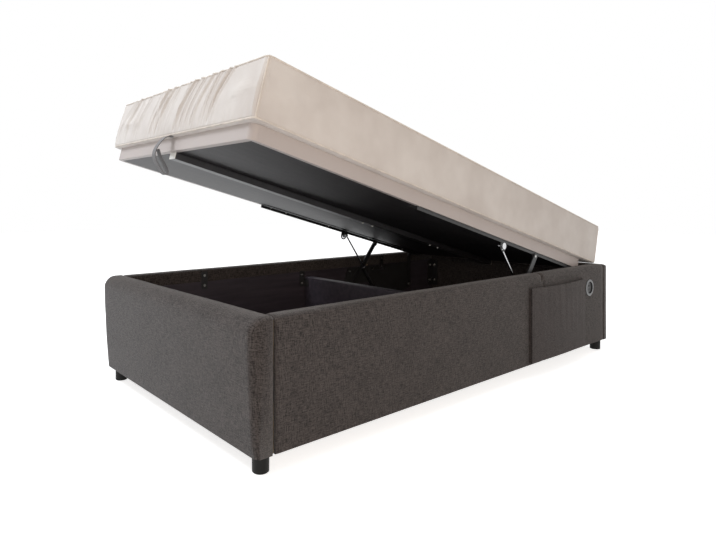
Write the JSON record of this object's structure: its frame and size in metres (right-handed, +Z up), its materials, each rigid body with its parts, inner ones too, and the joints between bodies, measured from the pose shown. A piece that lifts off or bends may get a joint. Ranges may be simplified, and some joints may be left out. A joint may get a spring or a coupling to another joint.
{
  "type": "storage bed",
  "caption": "Upholstered single storage bed with a gas-lift mattress platform, divided box, side pocket and charging port.",
  "frame": {"origin": "on the floor under the middle of the bed, at the foot of the centre leg", "axes": "+X across the bed towards the side with the pocket and charging port, +Y from the foot to the head, +Z up"},
  "size_m": [1.067, 2.0313, 1.0713],
  "materials": {
    "black_leg": "gloss black",
    "black_steel": "black powder coat",
    "core_board": "raw chipboard",
    "dark_laminate": "black laminate",
    "dark_plastic": "black moulding",
    "dark_tube": "charcoal paint",
    "grey_webbing": "woven webbing",
    "link_steel": "dark painted flat bar",
    "mattress_cloth": "cream knitted cover",
    "pine": "planed softwood",
    "platform_board": "fibreboard",
    "pocket_cloth": "fine dark grey-brown weave",
    "port_insert": "dark grey moulding",
    "rim_foil": "warm grey foil",
    "strut_black": "satin black",
    "strut_rod": "ground rod",
    "underside_panel": "dark charcoal panel",
    "upholstery_linen": "dark grey-brown linen weave",
    "white_plastic": "white moulding",
    "zinc_screw": "zinc plated"
  },
  "bodies": {
    "base": {"centre_floor_beam": "pine", "charging_port_housing": "dark_plastic", "charging_port_sockets": "port_insert", "corner_angles": "black_steel", "corner_bolts": "zinc_screw", "divider_board": "dark_laminate", "divider_plate_screws": "zinc_screw", "divider_plates": "black_steel", "fixed_pivots": "zinc_screw", "floor_battens": "pine", "floor_panel_front": "dark_laminate", "floor_panel_rear": "dark_laminate", "footboard_core": "core_board", "footboard_cover": "upholstery_linen", "head_panel_core": "core_board", "head_panel_cover": "upholstery_linen", "hinge_plate_bolts": "zinc_screw", "hinge_plate_left": "black_steel", "hinge_plate_right": "black_steel", "inner_lining_left": "dark_laminate", "inner_lining_right": "dark_laminate", "leg_centre": "black_leg", "leg_foot_left": "black_leg", "leg_foot_right": "black_leg", "leg_head_left": "black_leg", "leg_head_right": "black_leg", "side_pocket": "pocket_cloth", "side_rail_core_left": "core_board", "side_rail_core_right": "core_board", "side_rail_cover_left": "upholstery_linen", "side_rail_cover_right": "upholstery_linen"},
    "platform": {"centre_tube": "dark_tube", "centre_tube_caps": "white_plastic", "centre_tube_screws": "zinc_screw", "mattress": "mattress_cloth", "moving_rail_left": "black_steel", "moving_rail_pivots": "zinc_screw", "moving_rail_right": "black_steel", "moving_rail_screws": "zinc_screw", "platform_board_foot": "platform_board", "platform_board_head": "platform_board", "platform_board_middle": "platform_board", "platform_cross_rails": "pine", "platform_rim_foot": "rim_foil", "platform_rim_head": "rim_foil", "platform_rim_left": "rim_foil", "platform_rim_right": "rim_foil", "platform_underside": "underside_panel", "pull_strap": "grey_webbing"},
    "front_link_left": {"front_link_left": "link_steel"},
    "rear_link_left": {"rear_link_left": "link_steel"},
    "gas_cylinder_left": {"gas_cylinder_left": "strut_black"},
    "gas_rod_left": {"gas_rod_left": "strut_rod"},
    "front_link_right": {"front_link_right": "link_steel"},
    "rear_link_right": {"rear_link_right": "link_steel"},
    "gas_cylinder_right": {"gas_cylinder_right": "strut_black"},
    "gas_rod_right": {"gas_rod_right": "strut_rod"}
  },
  "joints": [
    {"name": "lift_link_left", "type": "hinge", "parent": "base", "child": "front_link_left", "pos_m": [-0.466, 0.201, 0.16003], "axis": [1, 0, 0], "range_deg": [-23.54, 0], "deforming": ["pull_strap"]},
    {"name": "platform_tilt", "type": "hinge", "parent": "front_link_left", "child": "platform", "pos_m": [-0.466, 0.44862, 0.468], "axis": [1, 0, 0], "range_deg": [0, 38.21]},
    {"name": "lift_link_right", "type": "hinge", "parent": "base", "child": "front_link_right", "pos_m": [0.466, 0.201, 0.16003], "axis": [1, 0, 0], "range_deg": [-23.56, 0]},
    {"name": "rear_link_turn_left", "type": "hinge", "parent": "base", "child": "rear_link_left", "pos_m": [-0.466, 0.73267, 0.22103], "axis": [1, 0, 0], "range_deg": [-41.88, 0]},
    {"name": "strut_tilt_left", "type": "hinge", "parent": "base", "child": "gas_cylinder_left", "pos_m": [-0.446, 0.49024, 0.15397], "axis": [1, 0, 0], "range_deg": [0, 7.36]},
    {"name": "strut_slide_left", "type": "slide", "parent": "gas_cylinder_left", "child": "gas_rod_left", "axis": [0, -0.5948, 0.8039], "range_m": [-0.20365, 0]},
    {"name": "rear_link_turn_right", "type": "hinge", "parent": "base", "child": "rear_link_right", "pos_m": [0.466, 0.73267, 0.22103], "axis": [1, 0, 0], "range_deg": [-41.88, 0]},
    {"name": "strut_tilt_right", "type": "hinge", "parent": "base", "child": "gas_cylinder_right", "pos_m": [0.446, 0.49024, 0.15397], "axis": [1, 0, 0], "range_deg": [0, 7.36]},
    {"name": "strut_slide_right", "type": "slide", "parent": "gas_cylinder_right", "child": "gas_rod_right", "axis": [0, -0.5948, 0.8039], "range_m": [-0.20365, 0]}
  ],
  "couplings": [
    {"joint": "platform_tilt", "follows": "lift_link_left", "ratio": -1.6225},
    {"joint": "lift_link_right", "follows": "lift_link_left", "ratio": 1},
    {"joint": "rear_link_turn_left", "follows": "lift_link_left", "ratio": 1.7784},
    {"joint": "strut_tilt_left", "follows": "lift_link_left", "ratio": -0.31178},
    {"joint": "strut_slide_left", "follows": "lift_link_left", "m_per_rad": 0.49553},
    {"joint": "rear_link_turn_right", "follows": "lift_link_left", "ratio": 1.7784},
    {"joint": "strut_tilt_right", "follows": "lift_link_left", "ratio": -0.31178},
    {"joint": "strut_slide_right", "follows": "lift_link_left", "m_per_rad": 0.49553}
  ]
}
